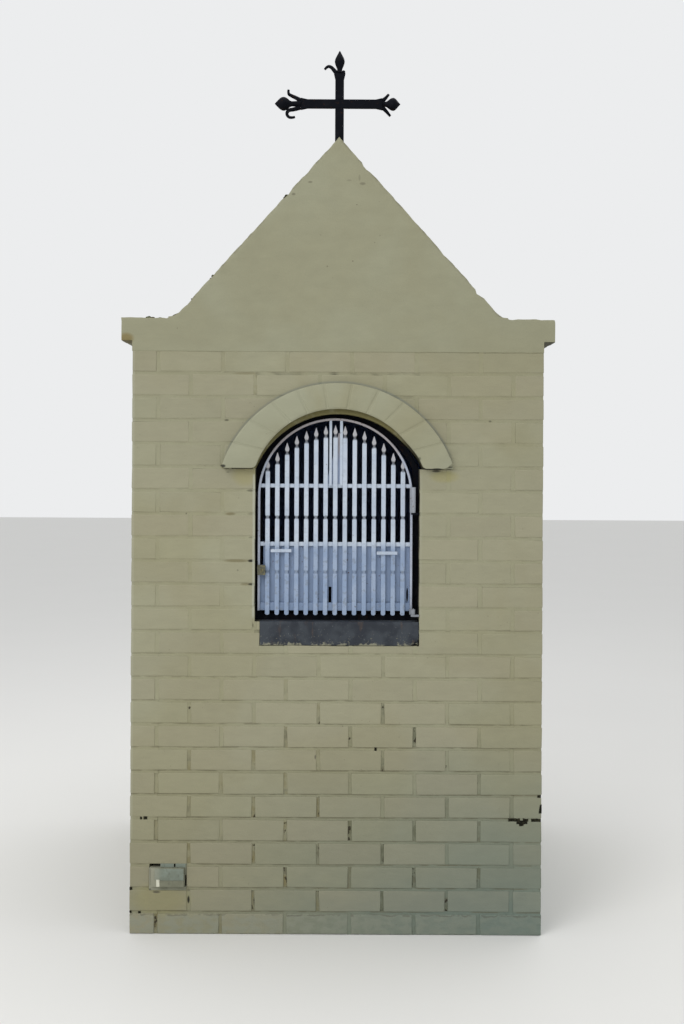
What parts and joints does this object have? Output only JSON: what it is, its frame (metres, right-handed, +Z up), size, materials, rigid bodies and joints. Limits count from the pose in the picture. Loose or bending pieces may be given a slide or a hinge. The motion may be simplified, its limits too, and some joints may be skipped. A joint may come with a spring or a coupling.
{
  "type": "wayside shrine",
  "caption": "Painted brick wayside shrine with a steep gable, an arched niche behind a hinged barred gate, a stone sill and a wrought iron cross on the ridge.",
  "frame": {"origin": "middle of the footprint at ground level, on the underside of the base", "axes": "+X to the right as seen from the front, +Y to the back, +Z up; the gate faces -Y"},
  "size_m": [1.361, 1.212, 2.802],
  "materials": {
    "core_masonry": "matte",
    "floor_screed": "matte",
    "painted_brick": "matte",
    "painted_render": "matte",
    "roof_render": "matte",
    "sill_stone": "matte",
    "black_iron": "satin",
    "white_iron": "satin",
    "lock_brass": "satin",
    "cover_plastic": "satin"
  },
  "bodies": {
    "shrine": {"base_core": "core_masonry", "niche_floor": "floor_screed", "left_wall": "painted_brick", "right_wall": "painted_brick", "back_wall": "painted_brick", "front_base_wall": "painted_brick", "front_pier_left": "painted_brick", "front_pier_right": "painted_brick", "front_arch_wall": "painted_brick", "window_sill": "sill_stone", "hood_arch": "painted_brick", "eaves_slab": "painted_render", "front_gable": "painted_render", "back_gable": "painted_render", "roof_slope_left": "roof_render", "roof_slope_right": "roof_render", "cross_upright": "black_iron", "cross_arm": "black_iron", "cross_finial_left": "black_iron", "cross_finial_right": "black_iron", "cross_finial_top": "black_iron", "surround_frame": "black_iron", "hinge_pintle_upper": "black_iron", "hinge_pintle_lower": "black_iron", "box_body": "cover_plastic", "box_cover": "cover_plastic", "box_catch": "cover_plastic"},
    "gate": {"gate_frame": "white_iron", "gate_rail_upper": "white_iron", "gate_rail_middle": "white_iron", "gate_rail_bottom": "white_iron", "gate_pickets": "white_iron", "gate_middle_bars": "white_iron", "gate_infill_plate": "white_iron", "gate_panel": "white_iron", "gate_tabs": "white_iron", "hinge_knuckle_upper": "white_iron", "hinge_knuckle_lower": "white_iron", "lock_case": "lock_brass", "lock_cylinder": "lock_brass"}
  },
  "joints": [
    {"name": "gate_hinge", "type": "hinge", "parent": "shrine", "child": "gate", "pos_m": [0.2385, -0.59, 1.322], "axis": [0, 0, 1], "range_deg": [0, 110]}
  ]
}
